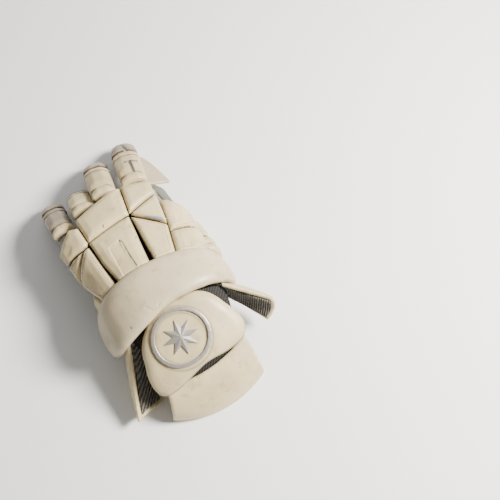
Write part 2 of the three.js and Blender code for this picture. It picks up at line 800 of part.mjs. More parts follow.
const outer = withSockets(handBody(0, 0, NOSE_ALONG), 0, 0);
const hollow = withSockets(
  handBody(SHELL_WALL, OPEN_ALONG, NOSE_ALONG - SHELL_WALL / HAND_LENGTH), STALL_WALL, 1,
);
const socketRoom = laidDigits.map((laid) => {
  const start = stallStart(laid);
  return socket(laid, -SEAT, start > 0 ? 0 : -SOCKET_LENGTH, start + SEAT);
}).reduce((sum, solid) => sum.add(solid));
const shell = laidDigits.reduce((solid, laid) => {
  const start = stallStart(laid) - SPLIT_GAP;
  return solid.subtract(socket(laid, -SPLIT_GAP, start, start + SOCKET_LENGTH));
}, outer.subtract(hollow));
const splitZ = ARCH_HEIGHT * PALM_SPLIT_SHARE;
const tilt = FAR * PALM_SPLIT_SLOPE;
place("hand_back", shell.subtract(block(-FAR, FAR, -FAR, FAR, -FAR, splitZ, tilt)), BLACK_CLOTH);
place("palm", shell.subtract(block(-FAR, FAR, -FAR, FAR, splitZ - SPLIT_GAP, FAR, tilt)), PALM_LEATHER);

const bodyRoom = handBody(-SEAT, OPEN_ALONG, NOSE_ALONG + SEAT / HAND_LENGTH);

// Finger stalls and the pads sewn on them
for (const laid of laidDigits) {
  const { name } = laid.digit;
  const start = stallStart(laid);
  const skin = digitTube(laid, 0, start).subtract(digitTube(laid, STALL_WALL, start - 1));
  place(`${name}_stall`, skin.subtract(floor), GREY_CLOTH);
  for (const row of laid === thumb ? THUMB_PADS : FINGER_PADS) {
    const solid = fingerPad(laid, row);
    const nearHand = laid !== thumb && row.from < NEAR_HAND_SHARE;
    place(`${name}_${row.name}`, nearHand ? solid.subtract(bodyRoom) : solid, LEATHER);
  }
}

// Wrist strap: a fat roll laid over the wrist
function strapSolid(grow) {
  const ends = [STRAP_ROWS[0].across, STRAP_ROWS.at(-1).across];
  const read = (across, name) => column(STRAP_ROWS, "across", name, across);
  const rings = evenly(ends[0], ends[1], STRAP_STATIONS - 1).map((across) => {
    const front = read(across, "front") * STRAP_WIDTH;
    const rear = read(across, "rear") * STRAP_WIDTH;
    const tall = (STRAP_THICK / 2) * read(across, "fat");
    const u = handFromShares(across, STRAP_ALONG)[0] * (1 + (grow * Math.abs(across)) / HAND_WIDTH);
    return Array.from({ length: STRAP_POINTS }, (_, i) => {
      const angle = ((i + 0.5) * 2 * Math.PI) / STRAP_POINTS;
      const [a, b] = ovalPoint(
        angle, (front - rear) / 2 + grow, tall + grow, tall + grow, STRAP_POWER, STRAP_POWER,
      );
      return handSurface(u, (front + rear) / 2 + a, STRAP_SEAT + STRAP_THICK / 2 + b);
    });
  });
  return loft(rings);
}

const strapRoom = strapSolid(SEAT);

// Pads of the hand
const rooms = { sockets: socketRoom, body: bodyRoom, strap: strapRoom };
for (const row of HAND_PADS) {
  const corners = row.corners.map(([across, along]) => handFromShares(across, along));
  const outline = dividedOutline(insetOutline(corners, SEAM / 2), FACET_STEP);
  const thick = BACK_PAD * row.thick;
  const top = PAD_RISE.map(({ share, rise }) => ({ share, lift: SEAT + thick * rise }));
  const bottom = [1, 0].map((share) => ({ share, lift: -PAD_SINK }));
  let solid = dome(handSurface, outline, top, bottom);
  if (row.name === "middle_back_panel") {
    const sunk = RECESS_CORNERS.map(([across, along]) => handFromShares(across, along));
    const lift = SEAT + thick - RECESS_DEPTH;
    solid = solid.subtract(dome(
      handSurface, dividedOutline(sunk, FACET_STEP),
      [{ share: 1, lift: lift + BACK_PAD }, { share: 0, lift: lift + BACK_PAD }],
      [1, 0.5, 0].map((share) => ({ share, lift })),
    ));
  }
  for (const room of row.trim) {
    solid = solid.subtract(rooms[room]);
  }
  place(row.name, solid, LEATHER);
}

// Emblem plate over the back of the wrist
function plateBase(x, y) {
  const ridge = column(PLATE_RIDGE, "y", "z", y / CUFF_REACH) * ARCH_HEIGHT;
  const side = x - PLATE_CENTRE_X * CUFF_WIDTH;
  return new THREE.Vector3(x, y, ridge - (PLATE_BEND / CUFF_WIDTH) * side ** 2);
}

function plateSurface(x, y, lift) {
  return lifted(plateBase, x, y, lift, SLOPE_STEP);
}

// Rounds a closed outline by a curve through its points
function roundedOutline(outline) {
  const count = outline.length;
  return outline.flatMap((p, i) => {
    const [before, next, after] = [count - 1, 1, 2].map((k) => outline[(i + k) % count]);
    return [p, [0, 1].map((k) => (9 * (p[k] + next[k]) - before[k] - after[k]) / 16)];
  });
}

function plateSolid(grow) {
  const outline = roundedOutline(PLATE_OUTLINE.map(([x, y]) => [x * CUFF_WIDTH, y * CUFF_REACH]));
  const top = PLATE_RISE.map(({ share, rise }) => ({ share, lift: PLATE_THICK * rise + grow }));
  const bottom = [1, 0].map((share) => ({ share, lift: -grow }));
  return dome(plateSurface, grow > 0 ? insetOutline(outline, -grow) : outline, top, bottom);
}

// Places round the emblem's centre, as a radius and an angle on the plate
function emblemSurface(radius, angle, lift) {
  return plateSurface(
    RING_CENTRE[0] * CUFF_WIDTH + radius * Math.cos(angle),
    RING_CENTRE[1] * CUFF_REACH + radius * Math.sin(angle) * RING_STRETCH,
    lift,
  );
}

function hoop(low, high) {
  const inner = RING_RADIUS - RING_WIDTH / 2;
  const outside = RING_RADIUS + RING_WIDTH / 2;
  const corners = [[inner, low], [outside, low], [outside, high], [inner, high]];
  const points = [];
  const faces = [];
  for (let i = 0; i < RING_SEGMENTS; i += 1) {
    const angle = (i * 2 * Math.PI) / RING_SEGMENTS;
    corners.forEach(([radius, lift]) => points.push(emblemSurface(radius, angle, lift)));
    for (let k = 0; k < 4; k += 1) {
      const j = ((i + 1) % RING_SEGMENTS) * 4;
      const m = (k + 1) % 4;
      faces.push([i * 4 + k, i * 4 + m, j + m], [i * 4 + k, j + m, j + k]);
    }
  }
  return closed(points, faces);
}

place("emblem_plate", plateSolid(0), LEATHER);
const emblemFoot = PLATE_THICK + SEAT;
place("emblem_ring", hoop(emblemFoot, emblemFoot + RING_DEPTH), SILVER);
const starOutline = Array.from({ length: STAR_POINTS * 2 }, (_, i) => {
  const radius = STAR_RADIUS * (i % 2 === 0 ? 1 : STAR_INNER_SHARE);
  const angle = (i * Math.PI) / STAR_POINTS;
  return [
    RING_CENTRE[0] * CUFF_WIDTH + radius * Math.cos(angle),
    RING_CENTRE[1] * CUFF_REACH + radius * Math.sin(angle) * RING_STRETCH,
  ];
});
place("emblem_star", dome(
  plateSurface, starOutline,
  [
    { share: 1, lift: emblemFoot + STAR_HEIGHT * STAR_EDGE_SHARE },
    { share: 0, lift: emblemFoot + STAR_HEIGHT },
  ],
  [1, 0].map((share) => ({ share, lift: emblemFoot })),
), SILVER);

place("wrist_strap", strapSolid(0).subtract(plateSolid(SEAT)).subtract(socketRoom), LEATHER);

// Guard at the cuff's rear end
function guardBase(s, t) {
  const line = ({ middle, half, y, tilt, bow, z }) => new THREE.Vector3(
    (middle + s * half) * CUFF_WIDTH,
    (y + tilt * s - bow * (1 - s * s)) * CUFF_REACH,
    z * GUARD_HEIGHT,
  );
  const point = line(GUARD_FOOT).lerp(line(GUARD_RIM), t);
  point.y -= GUARD_BULGE * CUFF_REACH * 4 * t * (1 - t);
  return point;
}
const guardSurface = (s, t, lift) => lifted(guardBase, s, t, lift, SLOPE_SHARE_STEP);
const guardHigh = (a, b) => (
  GUARD_THICK * (GUARD_EDGE_SHARE + (1 - GUARD_EDGE_SHARE) * (1 - Math.abs(2 * b - 1) ** 4))
);
place("cuff_guard", slab(
  guardSurface, evenly(-1, 1, 10), evenly(-0.02, 1, 5), () => 0, guardHigh,
).subtract(plateSolid(SEAT)).subtract(floor), LEATHER);

// Dark liner from the wrist opening down to the inner face of the guard
function linerBase(s, t) {
  const span = s < 0 ? LINER_LEFT_SPAN : LINER_RIGHT_SPAN;
  const start = handBase(s * span * arcTable(WRIST_Y).reach, WRIST_Y);
  start.y -= SPLIT_GAP + LINER_THICK;
  const end = guardSurface(s * LINER_GUARD_SHARE, 1 - LINER_LAP, -SEAT);
  const point = start.lerp(end, t);
  point.z += LINER_RISE * 4 * t * (1 - t);
  return point;
}
place("cuff_liner", slab(
  (s, t, lift) => lifted(linerBase, s, t, lift, SLOPE_SHARE_STEP),
  evenly(-1, 1, 10), evenly(0, 1, 4), () => 0, () => LINER_THICK,
), BLACK_CLOTH);

// Side wing of the index finger: a thin flap that widens towards the knuckle
const indexLaid = fingers[0];
const indexSkin = digitSurface(indexLaid);
function wingBase(u, v) {
  const length = indexLaid.digit.length * FINGER_LENGTH;
  const foot = indexSkin(WING_ANGLE, length * (WING_FROM + (WING_TO - WING_FROM) * u), WING_SEAT);
  const out = new THREE.Vector3(Math.cos(WING_DROP), 0, -Math.sin(WING_DROP));
  return foot.addScaledVector(out, v * WING_REACH * (WING_TIP_SHARE + (1 - WING_TIP_SHARE) * u));
}
place("index_side_wing", slab(
  (u, v, lift) => lifted(wingBase, u, v, lift, SLOPE_SHARE_STEP),
  evenly(0, 1, 6), evenly(0, 1, 3), () => -WING_THICK / 2, () => WING_THICK / 2,
), LEATHER);

// Flaps at both sides of the cuff, each with a lining on its inner face
for (const row of FLAPS) {
  const point = ([x, y, z]) => new THREE.Vector3(x * CUFF_WIDTH, y * CUFF_REACH, z * GUARD_HEIGHT);
  const base = (u, v) => {
    const top = point(row.rootTop).lerp(point(row.tipTop), u);
    const low = point(row.rootLow).lerp(point(row.tipLow), u);
    const p = top.lerp(low, v);
    p.x += row.side * FLAP_BOW * 4 * v * (1 - v);
    return p;
  };
  const surface = (u, v, lift) => lifted(base, u, v, lift * row.side, SLOPE_SHARE_STEP);
  const edge = (a, b) => {
    const full = (1 - Math.abs(2 * b - 1) ** 3) * (1 - Math.abs(2 * a - 1) ** 4);
    return FLAP_THICK * (FLAP_EDGE_SHARE + (1 - FLAP_EDGE_SHARE) * full);
  };
  const leather = slab(surface, evenly(0, 1, 6), evenly(0, 1, 5), () => 0, edge);
  place(`${row.name}_flap`, leather.subtract(strapRoom), LEATHER);
  const inset = LINING_INSET_SHARE;
  place(`${row.name}_flap_lining`, slab(
    surface, evenly(row.liningFrom, 1 - inset, 6), evenly(row.liningTop, 1 - inset, 4),
    () => -LINING_GAP - LINING_THICK, () => -LINING_GAP,
  ).subtract(strapRoom), GREY_CLOTH);
}

// Centre of the bounding box over the origin, resting on z = 0
const bounds = new THREE.Box3().setFromObject(group);
const middle = bounds.getCenter(new THREE.Vector3());
for (const node of group.children) {
  node.geometry.translate(-middle.x, -middle.y, -bounds.min.z);
}

export default group;
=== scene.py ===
import math

import bmesh
import bpy
import numpy as np
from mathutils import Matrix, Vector
from mathutils.bvhtree import BVHTree


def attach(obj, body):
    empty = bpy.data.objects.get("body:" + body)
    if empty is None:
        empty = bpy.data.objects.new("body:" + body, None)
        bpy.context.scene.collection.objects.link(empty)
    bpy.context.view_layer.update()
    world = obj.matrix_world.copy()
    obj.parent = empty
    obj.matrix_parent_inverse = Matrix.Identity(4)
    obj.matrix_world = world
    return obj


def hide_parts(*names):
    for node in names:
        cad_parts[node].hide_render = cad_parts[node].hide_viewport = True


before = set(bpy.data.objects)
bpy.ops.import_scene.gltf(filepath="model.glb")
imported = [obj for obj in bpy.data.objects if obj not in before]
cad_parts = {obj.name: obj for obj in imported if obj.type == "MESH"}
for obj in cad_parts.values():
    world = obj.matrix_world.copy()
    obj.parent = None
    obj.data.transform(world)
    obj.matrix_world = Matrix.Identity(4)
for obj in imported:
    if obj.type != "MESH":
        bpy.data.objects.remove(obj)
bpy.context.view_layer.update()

# Left hand glove lying palm down: +X thumb side, +Y fingertips, +Z up, metres
MM = 0.001
UP = np.array((0, 0, 1))
FLOOR_CLEARANCE = 0.15 * MM
WELD = 0.01 * MM

# Camera at the photograph's viewing angle, 500 pixels square
CAMERA_ELEVATION = 66
CAMERA_YAW = 26
CAMERA_DISTANCE = 640 * MM
CAMERA_FOCAL_PX = 640
CAMERA_ANCHOR = Vector((-10.2, -48.2, 75)) * MM
ANCHOR_PX = (160, 290)
FRAME_PX = 500
SENSOR_WIDTH = 36

# Floor and light, metres and watts
FLOOR_SIZE = 6.0
FLOOR_GREY = (0.93, 0.93, 0.93)
FLOOR_ROUGHNESS = 0.8
SKY_TINT = (1, 0.985, 0.96)
SKY_STRENGTH = 0.27
KEY_LIGHT = {"place": (0.86, -0.36, 0.87), "aim": (0, -0.02, 0.03), "size": 0.35, "power": 58}
KEY_TINT = (1, 0.965, 0.89)
FILL_LIGHT = {"place": (0.3, 0.9, 0.9), "aim": (0, 0, 0.03), "size": 1.2, "power": 5}
FILL_TINT = (1, 0.98, 0.95)

# Voxel size, rounds of smoothing and swelling of each kind of piece, millimetres
PAD_FORM = {"voxel": 0.75, "rounds": 11, "swell": 0.35}
FINGER_FORM = {"voxel": 0.65, "rounds": 40, "swell": 0.35}
STRAP_FORM = {"voxel": 1.2, "rounds": 76, "swell": 0.5}
PLATE_FORM = {"voxel": 1.0, "rounds": 32, "swell": 0.3}
GUARD_FORM = {"voxel": 1.0, "rounds": 50, "swell": 0.3}
FLAP_FORM = {"voxel": 0.95, "rounds": 21, "swell": 0.25}
WING_FORM = {"voxel": 0.75, "rounds": 10, "swell": 0.2}
STALL_FORM = {"voxel": 1.2, "rounds": 17, "swell": 0.1}
SHELL_FORM = {"voxel": 1.45, "rounds": 12, "swell": 0.05}
LINER_FORM = {"voxel": 1.15, "rounds": 6, "swell": 0.1}
LINING_FORM = {"voxel": 0.7, "rounds": 16, "swell": 0.1}
RING_FORM = {"voxel": 0.4, "rounds": 12, "swell": 0.2}
# Share of the way to its neighbours that a round moves a vertex, and rounds for a mark
EVENING_SHARE = 0.5
MARK_ROUNDS = 2

FINGERS = ["index", "middle", "ring", "pinky"]
FINGER_PADS = ["base_roll", "mid_pad", "hem_roll", "tip_cap"]
THUMB_PADS = ["base_roll", "base_pad", "mid_pad", "tip_cap"]
HAND_PADS = [
    "knuckle_band", "middle_back_panel", "index_knuckle_facet", "index_side_facet", "index_back_panel",
    "web_triangle", "web_roll", "pinky_knuckle_facet", "pinky_side_facet", "pinky_back_panel",
    "pinky_wrist_piece",
]
STITCHED_PADS = ["index_back_panel", "web_roll", "web_triangle", "pinky_back_panel", "pinky_side_facet"]
GREY_PADS = [finger + pad for finger in FINGERS for pad in ("_tip_cap", "_hem_roll")] + ["pinky_mid_pad"]
LENS_PADS = ["index_side_facet", "index_back_panel"]

# Small details: width and depth in millimetres, a mark that colours them (dark dots, and painted shade
# in the notch, slot and slits), and paths seen from above
PANEL_GROOVE = {
    "width": 3.2, "depth": 0.8, "paths": [
        [
            (-36.2, -22.5, 84.6), (-37.6, -3.7, 83.2), (-38.8, 12.1, 82.6),
            (-36.6, 13.4, 83.6), (-27.5, 15.7, 84.4),
        ],
        [(-27.5, 15.7, 84.4), (-25.7, 13.6, 84.6), (-24.2, -3.4, 85.9), (-22, -18.5, 86.9)],
    ],
}
PANEL_DOT = {
    "width": 2.2, "depth": 0.3, "mark": "dots_and_slot_shade",
    "paths": [[(-10.4, 11.9, 83.5), (-10, 12.3, 83.5)]],
}
BAND_NOTCH = {
    "width": 2, "depth": 0.8, "mark": "dots_and_slot_shade",
    "paths": [[(-37.1, 39.4, 80.2), (-35.8, 41.2, 80.4)]],
}
INDEX_SLOT = {
    "width": 4.6, "depth": 1.3, "mark": "dots_and_slot_shade", "paths": [
        [(18.6, 118.5, 55.2), (18.7, 112, 56), (18.2, 101, 58.4)],
        [(13.4, 119.5, 54.7), (18.6, 118.5, 54.6), (26.4, 116, 54.5)],
    ],
}
CAP_SLIT = {
    "width": 5, "depth": 1.2, "mark": "dots_and_slot_shade",
    "paths": [[(20.5, 168, 20), (20.9, 158, 30), (21.6, 150, 36)]],
}
HEM_SLIT = {
    "width": 5, "depth": 1.2, "mark": "dots_and_slot_shade",
    "paths": [[(21.2, 156, 32), (21.8, 149, 36), (22.4, 143, 40)]],
}
STRAP_CREASES = {
    "width": 2.2, "depth": 0.7, "paths": [
        [(-29.5, -65.1, 91.8), (-27, -69, 91.2), (-25, -71.2, 90.1)],
        [(-25, -71.2, 90.1), (-19.3, -70.2, 90.6), (-15.4, -66.6, 92.5)],
    ],
}
STRAP_DOT = {
    "width": 2.4, "depth": 0.4, "mark": "dots_and_slot_shade",
    "paths": [[(-50.8, -76.2, 82.1), (-50.4, -75.8, 82.1)]],
}
PATH_STEP = 0.8 * MM
LEAST_POINTS = 4
PATH_REACH = 14 * MM
DROP_SHARE = 2.5
MARK_SHARPNESS = 2.2

# The two dark slits between the columns of pads, darkened with painted black shade, millimetres from
# above
SLITS = [
    [(-8.5, 40.1), (-7.1, 37.4), (-5.9, 25.2), (-5.4, 6.3), (-5.7, -13.6), (-5.8, -34)],
    [(-58.8, 31.2), (-56.7, 18.4), (-54.8, 8.5), (-50.8, -9.1), (-46.2, -29.1)],
]
SLIT_REACH = 5.5 * MM
SLIT_CORE_SHARE = 0.8
SLIT_ROOM = 9 * MM
SHELL_MESH_START = -40 * MM

# Silver crescent in the seam between two pads of the index column, millimetres
LENS_PATH = [
    (5.2, 33.7, 77.8), (11.3, 29.2, 77.7), (17.4, 25.2, 78.2), (21.9, 22, 77.7), (26.5, 20.4, 73.2),
]
LENS_WIDTH = 1.9
LENS_HEIGHT = 1.5
LENS_LIFT = 0.2
LENS_SIDES = 12
LENS_ROUNDS = 6
LENS_END_SHARE = 0.02
LENS_SKEW = 1.3
LENS_FULLNESS = 0.8
LENS_AROUND = (-2, 0, 2)
LENS_DROP_START = 20
LENS_DROP = 40 * MM

# Rolled hem at the front of each finger's mid pad
BAND_LENGTH = 8 * MM
BAND_GROOVE = 1.3 * MM
BAND_RISE = 0.9 * MM
BAND_DEPTH = 0.9 * MM
BAND_TOP_QUANTILE = 0.7
BAND_FRONT_QUANTILE = 0.98
BAND_SHARPNESS = 2

# Sewn seams and their stitches; a stitch has rows of share along, thickness and lift in radii
SEAM_WIDTH = 1.1 * MM
SEAM_DEPTH = 0.35 * MM
RIM_SLOPE = 0.35
RIM_STEP = 1.5 * MM
RIM_REACH = 12 * MM
RIM_ROUNDS = 4
STITCH_INSET = 2.6 * MM
STITCH_LENGTH = 2.6 * MM
STITCH_GAP = 1.3 * MM
STITCH_RADIUS = 0.32 * MM
STITCH_SIDES = 6
STITCH_ROWS = [(0, 0.35, -0.9), (0.15, 0.9, -0.1), (0.5, 1, 0.25), (0.85, 0.9, -0.1), (1, 0.35, -0.9)]

# Seams between pads, darkened with painted shade: size of a cell, cells looked at, and neighbours that
# make a seam fully dark
SEAM_CELL = 1.1 * MM
HAND_SEAM_CELLS = 1
FINGER_SEAM_CELLS = 2
CELL_MARGIN = 3
SEAM_CROWD = 3

# Linings, plate and stalls
LINING_REACH = 16 * MM
LINING_ROOT_QUANTILE = 0.6
LINING_SAMPLE = 20
# Painted shade: dark lines beside the emblem ring and on the down-facing rims of the plate and strap
RING_LINE = 0.8 * MM
RING_LINE_FADE = 1.6
RING_SHADE = 0.55
PLATE_RIM_SHADE = 0.75
STRAP_RIM_SHADE = 0.6
STALL_PALM_SLOPE = -0.35


# Meshes
def linked(name, mesh):
    piece = bpy.data.objects.new(name, mesh)
    bpy.context.scene.collection.objects.link(piece)
    return piece


def welded_copy(node):
    """A mesh copy of a frame node whose split vertices are joined again."""
    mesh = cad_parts[node].data.copy()
    mesh.materials.clear()
    work = bmesh.new()
    work.from_mesh(mesh)
    bmesh.ops.remove_doubles(work, verts=work.verts, dist=WELD)
    work.to_mesh(mesh)
    work.free()
    return mesh


def apply_modifiers(piece):
    """Puts what the modifiers make into the piece's own mesh."""
    graph = bpy.context.evaluated_depsgraph_get()
    made = bpy.data.meshes.new_from_object(piece.evaluated_get(graph))
    piece.modifiers.clear()
    piece.data = made


def positions(mesh):
    co = np.empty(len(mesh.vertices) * 3)
    mesh.vertices.foreach_get("co", co)
    return co.reshape(-1, 3)


def set_positions(mesh, co):
    mesh.vertices.foreach_set("co", co.ravel())
    mesh.update()


def normals(mesh):
    found = np.empty(len(mesh.vertices) * 3)
    mesh.vertex_normals.foreach_get("vector", found)
    return found.reshape(-1, 3)


def ramp(values, low, high):
    return np.clip((values - low) / (high - low), 0, 1)


def evened(mesh, values, rounds):
    """Moves each vertex's values towards those of its neighbours, several times."""
    pairs = np.empty(len(mesh.edges) * 2, int)
    mesh.edges.foreach_get("vertices", pairs)
    a, b = pairs.reshape(-1, 2).T
    out = values.copy()
    count = len(out)
    degree = np.bincount(a, minlength=count) + np.bincount(b, minlength=count)
    for _ in range(rounds):
        for k in range(out.shape[1]):
            total = np.bincount(a, out[b, k], count) + np.bincount(b, out[a, k], count)
            out[:, k] += EVENING_SHARE * (total / degree - out[:, k])
    return out


def smooth(mesh, rounds):
    """Smooths a mesh, and gives back the size that smoothing takes from it."""
    co = positions(mesh)
    low = evened(mesh, co, rounds)
    set_positions(mesh, low + evened(mesh, co - low, rounds))


def swell(mesh, amount):
    """Pushes a mesh outwards, and keeps it above the floor."""
    set_positions(mesh, positions(mesh) + normals(mesh) * amount)
    co = positions(mesh)
    co[:, 2] = np.maximum(co[:, 2], FLOOR_CLEARANCE)
    set_positions(mesh, co)


def soft_form(name, node, form):
    """A smooth body in the place of a faceted node."""
    piece = linked(name, welded_copy(node))
    remesh = piece.modifiers.new("remesh", "REMESH")
    remesh.mode = "VOXEL"
    remesh.voxel_size = form["voxel"] * MM
    apply_modifiers(piece)
    smooth(piece.data, form["rounds"])
    swell(piece.data, form["swell"] * MM)
    piece.data.shade_smooth()
    return piece


def settle(piece, node, materials):
    """Lets the piece stand for its node, on the glove's body."""
    for material in materials:
        piece.data.materials.append(material)
    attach(piece, "root")
    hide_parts(node)


def dressed(name, node, form, materials):
    """A smooth body that stands for its node."""
    piece = soft_form(name, node, form)
    settle(piece, node, materials)
    return piece


def added(name, verts, faces, material):
    """A smooth piece that no node stands for, on the glove's body."""
    mesh = bpy.data.meshes.new(name)
    mesh.from_pydata([tuple(v) for v in verts], [], faces)
    mesh.shade_smooth()
    piece = linked(name, mesh)
    piece.data.materials.append(material)
    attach(piece, "root")


def tube_faces(rings, sides):
    """Faces of a closed tube whose vertices come ring by ring."""
    faces = [tuple(range(sides))[::-1], tuple(range((rings - 1) * sides, rings * sides))]
    for k in range(rings - 1):
        for i in range(sides):
            j = (i + 1) % sides
            faces.append((k * sides + i, k * sides + j, (k + 1) * sides + j, (k + 1) * sides + i))
    return faces


# Paths on the pieces, and what is pressed in along them
def tree_of(piece):
    return BVHTree.FromObject(piece, bpy.context.evaluated_depsgraph_get())


def dropped(path, tree, normal, reach):
    """The path's points and normals on a piece below them."""
    out = []
    for p in path:
        start = Vector(p + normal * reach)
        hit, face_normal, _, _ = tree.ray_cast(start, Vector(-normal), DROP_SHARE * reach)
        if hit is not None:
            out.append((np.array(hit), np.array(face_normal)))
    return out


def run_of(points):
    """How far along the path each point lies."""
    lengths = np.linalg.norm(np.diff(points, axis=0), axis=1)
    return np.concatenate([[0], np.cumsum(lengths)])


def spaced(path, step, closed):
    """The same path with points an even step apart."""
    points = np.vstack([path, path[:1]]) if closed else path
    run = run_of(points)
    count = max(LEAST_POINTS, int(round(run[-1] / step)))
    at = np.linspace(0, run[-1], count, endpoint=not closed)
    return np.stack([np.interp(at, run, points[:, k]) for k in range(3)], axis=1)


def distance_to_path(points, path, closed):
    """Distance from each point to the nearest stretch of a path."""
    ends = np.roll(path, -1, axis=0) if closed else path[1:]
    starts = path if closed else path[:-1]
    best = np.full(len(points), np.inf)
    for a, b in zip(starts, ends):
        along = b - a
        share = np.clip((points - a) @ along / max(along @ along, 1e-12), 0, 1)
        best = np.minimum(best, np.linalg.norm(points - a - share[:, None] * along, axis=1))
    return best


def mark_of(mesh, name):
    return mesh.attributes.get(name) or mesh.attributes.new(name, "FLOAT", "POINT")


def set_mark(piece, name, values):
    """Stores a share for each vertex, a little evened, for the materials to read."""
    column = np.asarray(values, float)[:, None]
    values = evened(piece.data, column, MARK_ROUNDS)[:, 0]
    mark_of(piece.data, name).data.foreach_set("value", values.astype(np.float32))


def carve(piece, path, width, depth, closed=False, mark=None):
    """Presses a groove into a piece along a path, and can mark it for a colour."""
    mesh = piece.data
    co = positions(mesh)
    near = distance_to_path(co, np.asarray(path), closed) / (width / 2)
    share = np.clip(1 - near ** 2, 0, 1) ** 2
    set_positions(mesh, co - normals(mesh) * (share * depth)[:, None])
    if mark:
        marked = mark_of(mesh, mark)
        old = np.empty(len(co), np.float32)
        marked.data.foreach_get("value", old)
        inside = np.clip((1 - near) * MARK_SHARPNESS, 0, 1).astype(np.float32)
        marked.data.foreach_set("value", np.maximum(old, inside))


def grooves(piece, paths, width, depth, mark=None):
    """Presses paths that are given in millimetres from above into a piece."""
    for points in paths:
        path = spaced(np.array(points) * MM, PATH_STEP, False)
        places = dropped(path, tree_of(piece), UP, PATH_REACH)
        if len(places) > 1:
            carve(piece, [place for place, _ in places], width * MM, depth * MM, mark=mark)


# Stitches
def rim_loop(node):
    """The longest line along the upper rim of a node, and the way that its top faces."""
    mesh = welded_copy(node)
    work = bmesh.new()
    work.from_mesh(mesh)
    work.normal_update()
    upward = [f.normal * f.calc_area() for f in work.faces if f.normal.z > 0]
    middle = sum(upward, Vector()).normalized()
    top = {f for f in work.faces if f.normal.dot(middle) > RIM_SLOPE}
    rim = [e for e in work.edges if len(e.link_faces) == 2 and len(top & set(e.link_faces)) == 1]
    ways = {}
    for edge in rim:
        for v in edge.verts:
            ways.setdefault(v, []).append(edge.other_vert(v))
    loops = []
    left = set(ways)
    for start in ways:
        if start not in left:
            continue
        left.discard(start)
        loop = [start]
        step = next((v for v in ways[start] if v in left), None)
        while step is not None:
            left.discard(step)
            loop.append(step)
            step = next((v for v in ways[step] if v in left), None)
        loops.append(np.array([v.co[:] for v in loop]))
    work.free()
    bpy.data.meshes.remove(mesh)
    return max(loops, key=len), np.array(middle)


def inset_path(path, normal, amount):
    """Rounds a closed path and moves it inwards over the surface that it rims."""
    centre = path.mean(0)
    for _ in range(RIM_ROUNDS):
        path = 0.5 * path + 0.25 * (np.roll(path, 1, 0) + np.roll(path, -1, 0))
    along = np.roll(path, -1, 0) - np.roll(path, 1, 0)
    inward = np.cross(normal, along)
    inward /= np.linalg.norm(inward, axis=1)[:, None]
    side = np.sign(((centre - path) * inward).sum())
    return path + inward * side * amount


def stitch(start, end, up):
    """Vertices of one short thread that dips into the leather at both ends."""
    along = end - start
    along = along / np.linalg.norm(along)
    side = np.cross(along, up)
    side /= np.linalg.norm(side)
    verts = []
    for share, thick, lift in STITCH_ROWS:
        centre = start + (end - start) * share + up * STITCH_RADIUS * lift
        for k in range(STITCH_SIDES):
            turn = 2 * math.pi * k / STITCH_SIDES
            around = side * math.cos(turn) + up * math.sin(turn)
            verts.append(centre + around * STITCH_RADIUS * thick)
    return verts


def stitches(name, places):
    """One piece of thread: a row of stitches through places on a surface."""
    verts, faces = [], []
    skin = tube_faces(len(STITCH_ROWS), STITCH_SIDES)
    points = np.array([p for p, _ in places])
    ups = np.array([n for _, n in places])
    run = run_of(points)
    at = 0.0
    while at + STITCH_LENGTH < run[-1]:
        start, end = (
            np.array([np.interp(way, run, points[:, k]) for k in range(3)])
            for way in (at, at + STITCH_LENGTH)
        )
        up = ups[min(len(ups) - 1, int(np.searchsorted(run, at)))]
        if np.linalg.norm(end - start) > STITCH_LENGTH / 2:
            faces += [tuple(i + len(verts) for i in face) for face in skin]
            verts += stitch(start, end, up)
        at += STITCH_LENGTH + STITCH_GAP
    added(name, verts, faces, THREAD)


def sewn_line(piece, node):
    """A stitched groove inside the rim of a pad."""
    loop, normal = rim_loop(node)
    path = inset_path(spaced(loop, RIM_STEP, True), normal, STITCH_INSET)
    places = dropped(path, tree_of(piece), normal, RIM_REACH)
    carve(piece, [place for place, _ in places], SEAM_WIDTH, SEAM_DEPTH, closed=True)
    stitches("stitches_" + node, dropped(path, tree_of(piece), normal, RIM_REACH))


# Materials
def toned(colour, share):
    return tuple(min(1, value * share) for value in colour)


